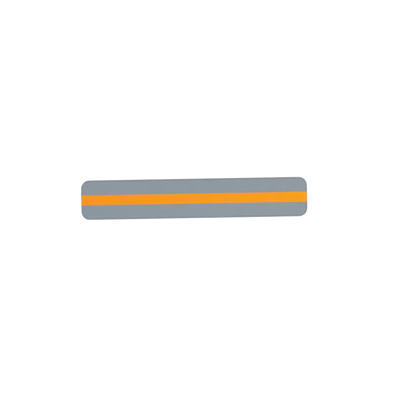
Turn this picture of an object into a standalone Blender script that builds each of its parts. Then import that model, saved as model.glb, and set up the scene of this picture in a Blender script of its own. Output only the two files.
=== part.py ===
"""Reading guide strip: a thin, flexible plastic strip that is laid over a page to follow a line of text.

It is a laminate of three layers. The middle layer is an orange window band, which runs from end to end, between
two grey masking bands. A clear film covers the bands on each side.

The strip lies flat. +X runs along it, +Y across it towards the upper grey band, and +Z out of its front face.
The origin is the middle of its back face. All lengths are in metres.
"""

import math

import bpy

# Driving dimensions
STRIP_LENGTH = 0.184
STRIP_WIDTH = 0.032
CORNER_RADIUS = 0.0067
WINDOW_WIDTH = 0.0082
WINDOW_MIDDLE = -0.00016  # the window lies slightly below the strip's middle line
BAND_THICKNESS = 0.00025
FILM_THICKNESS = 0.000125
GLUE_LINE = 0.00002  # between a film and the bands
BAND_JOINT = 0.00002  # between one band and the next
EDGE_ROUNDING = 0.00003  # on every edge that the die cut

# Fineness of the mesh
CORNER_STEPS = 16  # straight pieces in each rounded corner
ROUNDING_SEGMENTS = 2
WELD_DISTANCE = 0.000002
SHARP_ANGLE = math.radians(40)

# Heights of the layers' undersides
BACK_FILM_BASE = 0.0
BAND_BASE = BACK_FILM_BASE + FILM_THICKNESS + GLUE_LINE
FRONT_FILM_BASE = BAND_BASE + BAND_THICKNESS + GLUE_LINE

# Places across the strip
STRIP_EDGE = STRIP_WIDTH / 2
WINDOW_LOW = WINDOW_MIDDLE - WINDOW_WIDTH / 2
WINDOW_HIGH = WINDOW_MIDDLE + WINDOW_WIDTH / 2

# The quadrants of an outline's corners, counter-clockwise from +X +Y
CORNER_SIDES = ((1, 1), (-1, 1), (-1, -1), (1, -1))


def clear_scene():
    for item in list(bpy.data.objects):
        bpy.data.objects.remove(item, do_unlink=True)


def new_collection(name):
    collection = bpy.data.collections.new(name)
    bpy.context.scene.collection.children.link(collection)
    return collection


def plastic(name, colour, roughness, alpha=1.0):
    """A plastic with a linear colour, which lets light through where alpha is below 1."""
    material = bpy.data.materials.new(name)
    material.use_nodes = True
    material.diffuse_color = (*colour, alpha)
    shader = material.node_tree.nodes["Principled BSDF"]
    shader.inputs["Base Color"].default_value = (*colour, 1.0)
    shader.inputs["Metallic"].default_value = 0.0
    shader.inputs["Roughness"].default_value = roughness
    shader.inputs["Alpha"].default_value = alpha
    if alpha < 1.0:
        material.surface_render_method = "BLENDED"
    return material


def clear_film():
    return plastic("clear_film", (0.90, 0.92, 0.93), 0.35, alpha=0.12)


def grey_plastic():
    return plastic("grey_plastic", (0.277, 0.318, 0.350), 0.45)


def orange_plastic():
    return plastic("orange_plastic", (0.940, 0.330, 0.013), 0.40, alpha=0.85)


def outline(low, high, low_radius, high_radius):
    """The strip's outline between y = low and y = high, with a corner radius for each of those two edges."""
    points = []
    for quadrant, (side_x, side_y) in enumerate(CORNER_SIDES):
        edge, radius = (high, high_radius) if side_y > 0 else (low, low_radius)
        if radius == 0:
            points.append((side_x * STRIP_LENGTH / 2, edge))
            continue
        centre_x = side_x * (STRIP_LENGTH / 2 - radius)
        centre_y = edge - side_y * radius
        for step in range(CORNER_STEPS + 1):
            angle = (quadrant + step / CORNER_STEPS) * math.pi / 2
            points.append((centre_x + radius * math.cos(angle), centre_y + radius * math.sin(angle)))
    return points


def flat_piece(name, points, base, thickness, material, collection, parent):
    """A flat sheet of this outline, lying on the height base, with its cut edges slightly rounded."""
    curve = bpy.data.curves.new(name, "CURVE")
    curve.dimensions = "2D"
    curve.fill_mode = "BOTH"
    curve.extrude = thickness / 2
    spline = curve.splines.new("POLY")
    spline.points.add(len(points) - 1)
    for point, (x, y) in zip(spline.points, points):
        point.co = (x, y, 0.0, 1.0)
    spline.use_cyclic_u = True
    curve.materials.append(material)

    piece = bpy.data.objects.new(name, curve)
    piece.location = (0.0, 0.0, base + thickness / 2)
    piece.parent = parent
    collection.objects.link(piece)

    weld = piece.modifiers.new("weld_caps", "WELD")
    weld.merge_threshold = WELD_DISTANCE
    bevel = piece.modifiers.new("round_edges", "BEVEL")
    bevel.width = EDGE_ROUNDING
    bevel.segments = ROUNDING_SEGMENTS
    bevel.limit_method = "ANGLE"
    bevel.angle_limit = SHARP_ANGLE
    return piece


def films(collection, parent):
    """The clear films on the front and back, which have the whole strip's outline."""
    material = clear_film()
    whole = outline(-STRIP_EDGE, STRIP_EDGE, CORNER_RADIUS, CORNER_RADIUS)
    flat_piece("back_film", whole, BACK_FILM_BASE, FILM_THICKNESS, material, collection, parent)
    flat_piece("front_film", whole, FRONT_FILM_BASE, FILM_THICKNESS, material, collection, parent)


def grey_bands(collection, parent):
    """The masking bands above and below the window, each with two of the strip's rounded corners."""
    material = grey_plastic()
    upper = outline(WINDOW_HIGH + BAND_JOINT, STRIP_EDGE, 0, CORNER_RADIUS)
    lower = outline(-STRIP_EDGE, WINDOW_LOW - BAND_JOINT, CORNER_RADIUS, 0)
    flat_piece("upper_grey_band", upper, BAND_BASE, BAND_THICKNESS, material, collection, parent)
    flat_piece("lower_grey_band", lower, BAND_BASE, BAND_THICKNESS, material, collection, parent)


def window_band(collection, parent):
    """The see-through orange band along the middle."""
    middle = outline(WINDOW_LOW, WINDOW_HIGH, 0, 0)
    flat_piece("orange_window_band", middle, BAND_BASE, BAND_THICKNESS, orange_plastic(), collection, parent)


def main():
    clear_scene()
    collection = new_collection("reading_guide_strip")
    origin = bpy.data.objects.new("strip_origin", None)
    origin.empty_display_size = STRIP_EDGE
    collection.objects.link(origin)
    films(collection, origin)
    grey_bands(collection, origin)
    window_band(collection, origin)


main()
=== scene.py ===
"""The looks of the reading guide strip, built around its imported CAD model.

The two clear films are made again here as fine meshes with rounded cut edges. The front film's face is
slightly uneven, and it dips over the joints between the coloured bands. The bands keep their CAD shapes and
take new materials. Lengths are in metres, and the strip's own sizes come from the CAD model.
"""

import math

import bmesh
import bpy
from mathutils import Matrix, Vector, noise


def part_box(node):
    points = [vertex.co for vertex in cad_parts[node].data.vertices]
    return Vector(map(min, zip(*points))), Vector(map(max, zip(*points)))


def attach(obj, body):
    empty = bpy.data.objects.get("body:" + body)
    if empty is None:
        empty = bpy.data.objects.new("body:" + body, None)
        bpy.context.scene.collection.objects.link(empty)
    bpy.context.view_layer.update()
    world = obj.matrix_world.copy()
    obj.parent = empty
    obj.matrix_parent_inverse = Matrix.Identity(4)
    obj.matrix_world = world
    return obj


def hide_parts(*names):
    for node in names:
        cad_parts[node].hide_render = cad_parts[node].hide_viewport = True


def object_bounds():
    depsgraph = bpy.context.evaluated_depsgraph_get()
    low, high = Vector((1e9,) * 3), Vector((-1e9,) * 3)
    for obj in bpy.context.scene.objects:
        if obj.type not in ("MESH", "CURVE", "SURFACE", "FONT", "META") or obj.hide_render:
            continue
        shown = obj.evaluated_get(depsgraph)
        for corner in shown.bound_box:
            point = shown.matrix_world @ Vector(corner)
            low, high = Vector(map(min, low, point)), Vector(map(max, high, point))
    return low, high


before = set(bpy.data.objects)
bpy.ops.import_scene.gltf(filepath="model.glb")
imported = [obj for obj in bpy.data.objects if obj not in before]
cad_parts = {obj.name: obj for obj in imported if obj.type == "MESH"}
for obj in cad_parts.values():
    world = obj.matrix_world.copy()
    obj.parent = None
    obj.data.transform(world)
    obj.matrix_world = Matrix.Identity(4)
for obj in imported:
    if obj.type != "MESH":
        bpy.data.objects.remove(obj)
cad_low, cad_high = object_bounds()

# ---------------------------------------------------------------- sizes, from the frame

ON_EDGE = 1e-6  # a point this near the strip's edge lies on it


def corner_radius(node_name):
    """The radius of the strip's corners: how far its long edge stops short of its end."""
    points = [vertex.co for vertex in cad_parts[node_name].data.vertices]
    end = max(point.x for point in points)
    side = max(point.y for point in points)
    return end - max(point.x for point in points if side - point.y < ON_EDGE)


STRIP_LENGTH = cad_high.x - cad_low.x
STRIP_WIDTH = cad_high.y - cad_low.y
CORNER_RADIUS = corner_radius("front_film")
WINDOW_LOW, WINDOW_HIGH = (corner.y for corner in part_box("orange_window_band"))

# How far the corners' centres are from the strip's middle
CENTRE_X = STRIP_LENGTH / 2 - CORNER_RADIUS
CENTRE_Y = STRIP_WIDTH / 2 - CORNER_RADIUS


# ---------------------------------------------------------------- shader nodes

NOISE_SPAN = (0.3, 0.7)  # most of a noise's values lie in this


def node(tree, kind, inputs=(), **settings):
    """A new node with these settings. An input given as a socket is linked, and any other is its value."""
    made = tree.nodes.new(kind)
    for name, value in settings.items():
        setattr(made, name, value)
    for name, value in dict(inputs).items():
        if isinstance(value, bpy.types.NodeSocket):
            tree.links.new(value, made.inputs[name])
        else:
            made.inputs[name].default_value = value
    return made


def maths(tree, operation, *values):
    """The result of a Math node."""
    return node(tree, "ShaderNodeMath", dict(enumerate(values)), operation=operation).outputs["Value"]


def vector_maths(tree, operation, *values):
    """The result of a Vector Math node: a number for a length, and a vector for any other operation."""
    made = node(tree, "ShaderNodeVectorMath", dict(enumerate(values)), operation=operation)
    return made.outputs["Value" if operation == "LENGTH" else "Vector"]


def scaled(tree, vector, factor):
    """A vector or a colour times a number."""
    made = node(tree, "ShaderNodeVectorMath", {0: vector, "Scale": factor}, operation="SCALE")
    return made.outputs["Vector"]


def axis(tree, vector, name):
    """A vector's X, Y or Z."""
    return node(tree, "ShaderNodeSeparateXYZ", {"Vector": vector}).outputs[name]


def spread(tree, value, span, to_span, interpolation="LINEAR"):
    """value carried from one span to another, and held at the second span's ends beyond that."""
    inputs = {"Value": value, "From Min": span[0], "From Max": span[1]}
    inputs.update({"To Min": to_span[0], "To Max": to_span[1]})
    return node(tree, "ShaderNodeMapRange", inputs, interpolation_type=interpolation).outputs["Result"]


def grain(tree, place, size, detail, stretch=(1, 1, 1)):
    """Noise from 0 to 1 whose spots are about size across, in metres, times the stretch along each axis."""
    scale = tuple(1 / (size * length) for length in stretch)
    inputs = {"Vector": vector_maths(tree, "MULTIPLY", place, scale), "Scale": 1.0, "Detail": detail}
    return node(tree, "ShaderNodeTexNoise", inputs).outputs["Fac"]


def mottle(tree, place, size, values, detail):
    """Soft spots about size across, which go from the first of the two values to the second."""
    return spread(tree, grain(tree, place, size, detail), NOISE_SPAN, values)


def mixed_colour(tree, share, first, second):
    """The first colour where share is 0, and the second where it is 1."""
    inputs = {0: share, 6: (*first, 1.0), 7: (*second, 1.0)}  # where a Mix node has its share and its colours
    return node(tree, "ShaderNodeMix", inputs, data_type="RGBA").outputs[2]


def shader(tree, kind, inputs):
    """The only output of a new shader node."""
    return node(tree, kind, inputs).outputs[0]


def mixed_shader(tree, share, first, second):
    """The first shader where share is 0, and the second where it is 1."""
    return shader(tree, "ShaderNodeMixShader", {0: share, 1: first, 2: second})


def new_material(name):
    """A material with no shader yet, its node tree, and the place of the shaded point."""
    material = bpy.data.materials.new(name)
    material.use_nodes = True
    tree = material.node_tree
    tree.nodes.clear()
    return material, tree, node(tree, "ShaderNodeTexCoord").outputs["Object"]


def finish_material(tree, surface):
    node(tree, "ShaderNodeOutputMaterial", {"Surface": surface})


def edge_distance(tree, place):
    """How far a point of the strip is from the strip's outline, a rectangle with rounded corners."""
    centre = (CENTRE_X, CENTRE_Y, 1.0)  # no point is 1 m up, so its height plays no part
    past = vector_maths(tree, "SUBTRACT", vector_maths(tree, "ABSOLUTE", place), centre)
    corner = vector_maths(tree, "LENGTH", vector_maths(tree, "MAXIMUM", past, (0, 0, 0)))
    nearest_side = maths(tree, "MAXIMUM", axis(tree, past, "X"), axis(tree, past, "Y"))
    inside = maths(tree, "MINIMUM", nearest_side, 0.0)
    return maths(tree, "SUBTRACT", CORNER_RADIUS, maths(tree, "ADD", corner, inside))


# ---------------------------------------------------------------- the bands' plastics

WHITE = (1.0, 1.0, 1.0, 1.0)
PLASTIC_IOR = 1.5
CLOUD_SIZE, CLOUD_SHADES = 0.011, (0.98, 1.02)
SPECK_SIZE, SPECK_SHADES = 0.00035, (0.975, 1.025)
PAINTED_RIM_SHADE_FADE = (0.0010, 0.0018)  # painted shade: the distances from the strip's edge between which the painted darker rim fades out
PAINTED_LINE_FADE, PAINTED_LINE_LIGHTNESS = (0.0021, 0.0030), 1.035  # a faint painted lighter line inside the rim's painted shade
BAND_ROUGHNESS, BAND_SPECULAR = 0.5, 0.05  # the bands lie under the film, which does the mirroring


def tinted_plastic(name, left_colour, right_colour, see_through, tint, painted_rim_shade):
    """Cloudy, speckled plastic with painted light and shade: its colour is painted lighter towards the
    right-hand end, partly as uneven dye, and darker at the strip's rim, with a lighter line inside the rim.
    """
    material, tree, place = new_material(name)
    ends = (-STRIP_LENGTH / 2, STRIP_LENGTH / 2)
    # painted light: the colour brightens from the left-hand end to the right, standing for light falling more
    # strongly on the right-hand end, and partly for uneven dye
    along = spread(tree, axis(tree, place, "X"), ends, (0.0, 1.0))
    colour = mixed_colour(tree, along, left_colour, right_colour)

    cloud = mottle(tree, place, CLOUD_SIZE, CLOUD_SHADES, detail=3)
    speck = mottle(tree, place, SPECK_SIZE, SPECK_SHADES, detail=1)
    inward = edge_distance(tree, place)
    # painted shade: a darker rim along the strip's cut edge, standing for light lost there, with a painted
    # lighter line inside it
    rim = spread(tree, inward, PAINTED_RIM_SHADE_FADE, (painted_rim_shade, 1.0), "SMOOTHSTEP")
    line = spread(tree, inward, PAINTED_LINE_FADE, (PAINTED_LINE_LIGHTNESS, 1.0), "SMOOTHSTEP")
    mottled, painted_edge_shading = maths(tree, "MULTIPLY", cloud, speck), maths(tree, "MULTIPLY", rim, line)
    shade = maths(tree, "MULTIPLY", mottled, painted_edge_shading)

    body = shader(tree, "ShaderNodeBsdfPrincipled", {
        "Base Color": scaled(tree, colour, shade), "Roughness": BAND_ROUGHNESS,
        "Specular IOR Level": BAND_SPECULAR, "IOR": PLASTIC_IOR})
    clear = shader(tree, "ShaderNodeBsdfTransparent", {"Color": (*tint, 1.0)})
    finish_material(tree, mixed_shader(tree, see_through, body, clear))
    return material


def grey_plastic():
    # the right-hand colour is lighter as painted light on that end, partly uneven dye, and the rim is painted
    # darker as shade
    return tinted_plastic(
        "grey_tinted_plastic", left_colour=(0.243, 0.286, 0.326), right_colour=(0.264, 0.305, 0.332),
        see_through=0.12, tint=(0.75, 0.80, 0.85), painted_rim_shade=0.83)


def orange_plastic():
    # the right-hand colour is lighter as painted light on that end, partly uneven dye, and the rim is painted
    # darker as shade
    return tinted_plastic(
        "orange_tinted_plastic", left_colour=(0.940, 0.334, 0.002), right_colour=(0.945, 0.392, 0.002),
        see_through=0.28, tint=(0.98, 0.62, 0.03), painted_rim_shade=0.89)


# ---------------------------------------------------------------- the satin film

MOST_MIRRORED = 0.085  # a matte face mirrors little even at a low angle
PATCH_SIZE, PATCH_ROUGHNESS = 0.018, (0.21, 0.27)
RIPPLE_SIZE, RIPPLE_DEPTH = 0.016, 0.0005
PEBBLE_SIZE = 0.0004
SCRATCH_SIZE, SCRATCH_STRETCH = 0.0009, (14, 0.35, 1)  # long along the strip and narrow across it
SCRATCH_PEAKS = (0.70, 0.78)  # only the noise's few highest values show as scratches
SCRATCH_ROUGHNESS = 0.08  # added to the patches' own
PEBBLE_SHARE, SCRATCH_SHARE = 0.5, 0.4  # of the marks' depth
MARK_DEPTH, MARK_STRENGTH = 0.00004, 0.5
FACE_HAZE, CUT_EDGE_HAZE = 0.001, 0.45
EDGE_TO_FACE = (0.3, 0.95)  # the flatness over which the cut edge's haze turns into the face's
MILK = (0.90, 0.92, 0.93, 1.0)


def film_roughness(tree, place, scratches):
    """Patches that are a little smoother or rougher, with rougher scratches."""
    patches = mottle(tree, place, PATCH_SIZE, PATCH_ROUGHNESS, detail=3)
    return maths(tree, "ADD", patches, maths(tree, "MULTIPLY", scratches, SCRATCH_ROUGHNESS))


def film_normal(tree, place, scratches):
    """A slow ripple, with a fine pebble and scratches on it."""
    ripple = grain(tree, place, RIPPLE_SIZE, detail=1)
    rippled = node(tree, "ShaderNodeBump", {"Strength": 1.0, "Distance": RIPPLE_DEPTH, "Height": ripple})
    pebble = maths(tree, "MULTIPLY", grain(tree, place, PEBBLE_SIZE, detail=2), PEBBLE_SHARE)
    marks = maths(tree, "SUBTRACT", pebble, maths(tree, "MULTIPLY", scratches, SCRATCH_SHARE))
    marked = node(tree, "ShaderNodeBump", {
        "Strength": MARK_STRENGTH, "Distance": MARK_DEPTH, "Height": marks,
        "Normal": rippled.outputs["Normal"]})
    return marked.outputs["Normal"]


def clear_film():
    """A satin film: it mirrors a little at its outer side, scatters a little, and lets the rest through."""
    material, tree, place = new_material("satin_clear_film")
    streaks = grain(tree, place, SCRATCH_SIZE, detail=1, stretch=SCRATCH_STRETCH)
    scratches = spread(tree, streaks, SCRATCH_PEAKS, (0.0, 1.0))
    roughness = film_roughness(tree, place, scratches)
    normal = film_normal(tree, place, scratches)

    geometry = node(tree, "ShaderNodeNewGeometry")
    flatness = maths(tree, "ABSOLUTE", axis(tree, geometry.outputs["Normal"], "Z"))
    haze = spread(tree, flatness, EDGE_TO_FACE, (CUT_EDGE_HAZE, FACE_HAZE), "SMOOTHSTEP")
    outer_side = maths(tree, "SUBTRACT", 1.0, geometry.outputs["Backfacing"])
    fresnel = node(tree, "ShaderNodeFresnel", {"IOR": PLASTIC_IOR, "Normal": normal}).outputs["Fac"]
    mirrored = maths(tree, "MULTIPLY", maths(tree, "MINIMUM", fresnel, MOST_MIRRORED), outer_side)

    clear = shader(tree, "ShaderNodeBsdfTransparent", {"Color": WHITE})
    gloss = shader(tree, "ShaderNodeBsdfAnisotropic", {
        "Color": WHITE, "Roughness": roughness, "Normal": normal})
    milk = shader(tree, "ShaderNodeBsdfDiffuse", {"Color": MILK})
    glazed = mixed_shader(tree, mirrored, clear, gloss)
    finish_material(tree, mixed_shader(tree, haze, glazed, milk))
    return material


# ---------------------------------------------------------------- the films' fine meshes

CUT_EDGE_RADIUS = 0.00004
CUT_EDGE_STEPS = 4
INNER_INSETS = (0.0003, 0.001, 0.0022, 0.0038)  # rings between the cut edge and the corners' centres
CORNER_STEPS = 24
COLUMN_PITCH, ROW_PITCH = 0.0025, 0.0016
DIP_DEPTH = 0.000018  # where the front film dips over the joint between two bands
DIP_REACH = 0.00035
DIP_ROWS = (-1, -0.5, 0, 0.5, 1)  # the mesh's rows over a dip, as shares of its reach
DIP_MARGIN = 2 * DIP_REACH  # no other row is this near a joint
WAVE_HEIGHT = 0.000016
WAVE_LENGTH, WAVE_BREADTH = 0.014, 0.009
WAVE_SLICE = 0.5  # the height in the noise at which the waves are read

# The quadrants of an outline's corners, counter-clockwise from +X +Y
CORNER_SIDES = ((1, 1), (-1, 1), (-1, -1), (1, -1))


def steps(low, high, pitch):
    """Evenly spaced numbers from low to high, about pitch apart."""
    count = max(1, round((high - low) / pitch))
    return [low + (high - low) * i / count for i in range(count + 1)]


def film_rows():
    """The places across the strip where the film's mesh has a row, closer together over the bands' joints."""
    rows = [y for y in steps(-CENTRE_Y, CENTRE_Y, ROW_PITCH)
            if min(abs(y - WINDOW_LOW), abs(y - WINDOW_HIGH)) > DIP_MARGIN]
    for joint in (WINDOW_LOW, WINDOW_HIGH):
        rows += [joint + DIP_REACH * share for share in DIP_ROWS]
    return sorted(rows)


def ring_insets():
    """How far in from the film's outline its rings lie, closest together over the rounded cut edge."""
    angles = [step / CUT_EDGE_STEPS * math.pi / 2 for step in range(CUT_EDGE_STEPS)]
    over_edge = [CUT_EDGE_RADIUS * (1 - math.cos(angle)) for angle in angles]
    return (*over_edge, CUT_EDGE_RADIUS, *INNER_INSETS)


def film_ring(inset, columns, rows):
    """The strip's outline moved in by inset, counter-clockwise from the bottom of its right-hand end."""
    radius = CORNER_RADIUS - inset
    end, side = STRIP_LENGTH / 2 - inset, STRIP_WIDTH / 2 - inset
    stretches = (
        [(end, y) for y in rows],
        [(x, side) for x in reversed(columns)],
        [(-end, y) for y in reversed(rows)],
        [(x, -side) for x in columns],
    )
    points = []
    for quadrant, (side_x, side_y) in enumerate(CORNER_SIDES):
        points += stretches[quadrant]
        for step in range(1, CORNER_STEPS):
            angle = (quadrant + step / CORNER_STEPS) * math.pi / 2
            x = side_x * CENTRE_X + radius * math.cos(angle)
            y = side_y * CENTRE_Y + radius * math.sin(angle)
            points.append((x, y))
    return points


def grid_outline(grid):
    """The outside of a grid in film_ring's order, with each corner repeated for every point of its arc."""
    stretches = (
        grid[-1],
        [column[-1] for column in reversed(grid)],
        list(reversed(grid[0])),
        [column[0] for column in grid],
    )
    return [point for stretch in stretches for point in stretch + [stretch[-1]] * (CORNER_STEPS - 1)]


def unevenness(x, y):
    """How far the film's outer face stands off its flat: a slow wave, and a smooth dip over each joint."""
    height = WAVE_HEIGHT * noise.noise(Vector((x / WAVE_LENGTH, y / WAVE_BREADTH, WAVE_SLICE)))
    for joint in (WINDOW_LOW, WINDOW_HIGH):
        away = min(1.0, abs(y - joint) / DIP_REACH)
        height -= DIP_DEPTH * (1 - away * away * (3 - 2 * away))
    return height


def edge_fall(inset):
    """How far the film's face has fallen at this inset, where it rounds over into the cut edge."""
    if inset >= CUT_EDGE_RADIUS:
        return 0.0
    return CUT_EDGE_RADIUS - math.sqrt(CUT_EDGE_RADIUS ** 2 - (CUT_EDGE_RADIUS - inset) ** 2)


def film_face(mesh, level, outward, columns, rows, uneven):
    """One face of a film at this level, up if outward is 1 and down if it is -1. Returns its outline."""

    def vertex(x, y, inset):
        lift = unevenness(x, y) if uneven else 0.0
        return mesh.verts.new((x, y, level + outward * (lift - edge_fall(inset))))

    def face(*corners):
        mesh.faces.new(corners if outward > 0 else tuple(reversed(corners)))

    rings = [[vertex(x, y, inset) for x, y in film_ring(inset, columns, rows)] for inset in ring_insets()]
    grid = [[vertex(x, y, CORNER_RADIUS) for y in rows] for x in columns]
    rings.append(grid_outline(grid))
    for outer, inner in zip(rings, rings[1:]):
        for i in range(len(outer)):
            j = (i + 1) % len(outer)
            if inner[i] is inner[j]:
                face(outer[i], outer[j], inner[j])
            else:
                face(outer[i], outer[j], inner[j], inner[i])
    for left, right in zip(grid, grid[1:]):
        for i in range(len(rows) - 1):
            face(left[i], right[i], right[i + 1], left[i + 1])
    return rings[0]


def film(name, node_name, material, uneven_top):
    """A film as one closed mesh, in the place of its CAD node."""
    low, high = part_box(node_name)
    columns, rows = steps(-CENTRE_X, CENTRE_X, COLUMN_PITCH), film_rows()
    mesh = bmesh.new()
    top = film_face(mesh, high.z, 1, columns, rows, uneven_top)
    bottom = film_face(mesh, low.z, -1, columns, rows, False)
    for i in range(len(top)):
        j = (i + 1) % len(top)
        mesh.faces.new((bottom[i], bottom[j], top[j], top[i]))
    data = bpy.data.meshes.new(name)
    mesh.to_mesh(data)
    mesh.free()
    data.shade_smooth()
    data.materials.append(material)
    piece = bpy.data.objects.new(name, data)
    bpy.context.scene.collection.objects.link(piece)
    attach(piece, "root")
    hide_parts(node_name)


# ---------------------------------------------------------------- the strip

def bands():
    """The coloured bands keep their CAD shapes and take new materials."""
    grey, orange = grey_plastic(), orange_plastic()
    coats = {"upper_grey_band": grey, "lower_grey_band": grey, "orange_window_band": orange}
    for name, material in coats.items():
        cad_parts[name].material_slots[0].material = material


def films():
    satin = clear_film()
    film("front_film_fine", "front_film", satin, uneven_top=True)
    film("back_film_fine", "back_film", satin, uneven_top=False)


# ---------------------------------------------------------------- floor, light and camera

FLOOR_DROP = 0.0001  # below the strip, so that the two faces don't coincide
FLOOR_SIZE = 40.0  # wide enough to fill the picture at a low angle
FIBRE_SIZE, FIBRE_SHADES = 0.002, (0.895, 0.905)
FLOOR_ROUGHNESS = 0.9
RING_STRENGTH = 2.4
RING_STOPS = (  # how high a direction points, as the sine of its angle, and how bright the light from it is
    (0.0, 0.10), (0.45, 0.15), (0.66, 1.0), (0.84, 1.0), (0.93, 0.03))
SOFT_BOX_RADIANCE = 0.38
SOFT_BOXES = {  # each one's place and size
    "left_soft_box": ((-0.46, 0.30, 0.21), 0.30),
    "right_soft_box": ((0.46, -0.30, 0.13), 0.22),
}
VIEW_WIDTH = 0.3260  # how much of the floor the picture takes in
LENS, SENSOR = 200.0, 36.0  # millimetres
CLIP_RATIO = 100  # the clipping planes are this many times nearer and farther than the strip
STRIP_TILT = math.radians(1.0)  # right-hand end up
STRIP_PLACE = Vector((-0.00475, 0.00133, 0.0))  # from the middle of the picture
TRANSPARENT_BOUNCES = 32  # enough for light to pass every layer of the strip


def floor_paper():
    material, tree, place = new_material("floor_paper")
    fibre = mottle(tree, place, FIBRE_SIZE, FIBRE_SHADES, detail=3)
    colour = node(tree, "ShaderNodeCombineColor", {"Red": fibre, "Green": fibre, "Blue": fibre})
    surface = shader(tree, "ShaderNodeBsdfPrincipled", {
        "Base Color": colour.outputs["Color"], "Roughness": FLOOR_ROUGHNESS, "Specular IOR Level": 0.0})
    finish_material(tree, surface)
    return material


def floor():
    bpy.ops.mesh.primitive_plane_add(size=FLOOR_SIZE, location=(0, 0, cad_low.z - FLOOR_DROP))
    plane = bpy.context.object
    plane.name = "floor"
    plane.data.materials.append(floor_paper())


def studio_light():
    """Soft light from all round, as from a ring of wide soft boxes about halfway up, and a white backdrop."""
    world = bpy.data.worlds.new("studio")
    bpy.context.scene.world = world
    world.use_nodes = True
    tree = world.node_tree
    tree.nodes.clear()
    direction = node(tree, "ShaderNodeTexCoord").outputs["Generated"]
    ramp = node(tree, "ShaderNodeValToRGB", {"Fac": axis(tree, direction, "Z")})
    ramp.color_ramp.interpolation = "EASE"
    elements = ramp.color_ramp.elements
    while len(elements) < len(RING_STOPS):
        elements.new(0.5)  # moved to its own stop below
    for element, (height, level) in zip(elements, RING_STOPS):
        element.position = height
        element.color = (level, level, level, 1.0)
    light = shader(tree, "ShaderNodeBackground", {"Color": ramp.outputs["Color"], "Strength": RING_STRENGTH})
    backdrop = shader(tree, "ShaderNodeBackground", {"Color": WHITE, "Strength": 1.0})
    seen = node(tree, "ShaderNodeLightPath").outputs["Is Camera Ray"]
    node(tree, "ShaderNodeOutputWorld", {"Surface": mixed_shader(tree, seen, light, backdrop)})


def soft_box(name, place, size):
    """A square light that faces the strip from low down, for a soft sheen along part of it."""
    data = bpy.data.lights.new(name, "AREA")
    data.shape = "SQUARE"
    data.size = size
    data.energy = SOFT_BOX_RADIANCE * math.pi * size * size
    box = bpy.data.objects.new(name, data)
    bpy.context.scene.collection.objects.link(box)
    box.location = place
    box.rotation_euler = Vector(place).to_track_quat("Z", "Y").to_euler()
    box.visible_camera = False


def soft_boxes():
    for name, (place, size) in SOFT_BOXES.items():
        soft_box(name, place, size)


def camera():
    """Straight above the strip, far off with a long lens."""
    data = bpy.data.cameras.new("camera")
    data.lens = LENS
    data.sensor_width = SENSOR
    eye = bpy.data.objects.new("camera", data)
    bpy.context.scene.collection.objects.link(eye)
    turn = Matrix.Rotation(-STRIP_TILT, 4, "Z")
    distance = VIEW_WIDTH * LENS / SENSOR
    eye.matrix_world = turn @ Matrix.Translation(Vector((0, 0, cad_high.z + distance)) - STRIP_PLACE)
    data.clip_start = distance / CLIP_RATIO
    data.clip_end = distance * CLIP_RATIO
    bpy.context.scene.camera = eye


bands()
films()
floor()
studio_light()
soft_boxes()
camera()
scene = bpy.context.scene
scene.view_settings.view_transform = "Standard"
scene.cycles.transparent_max_bounces = TRANSPARENT_BOUNCES
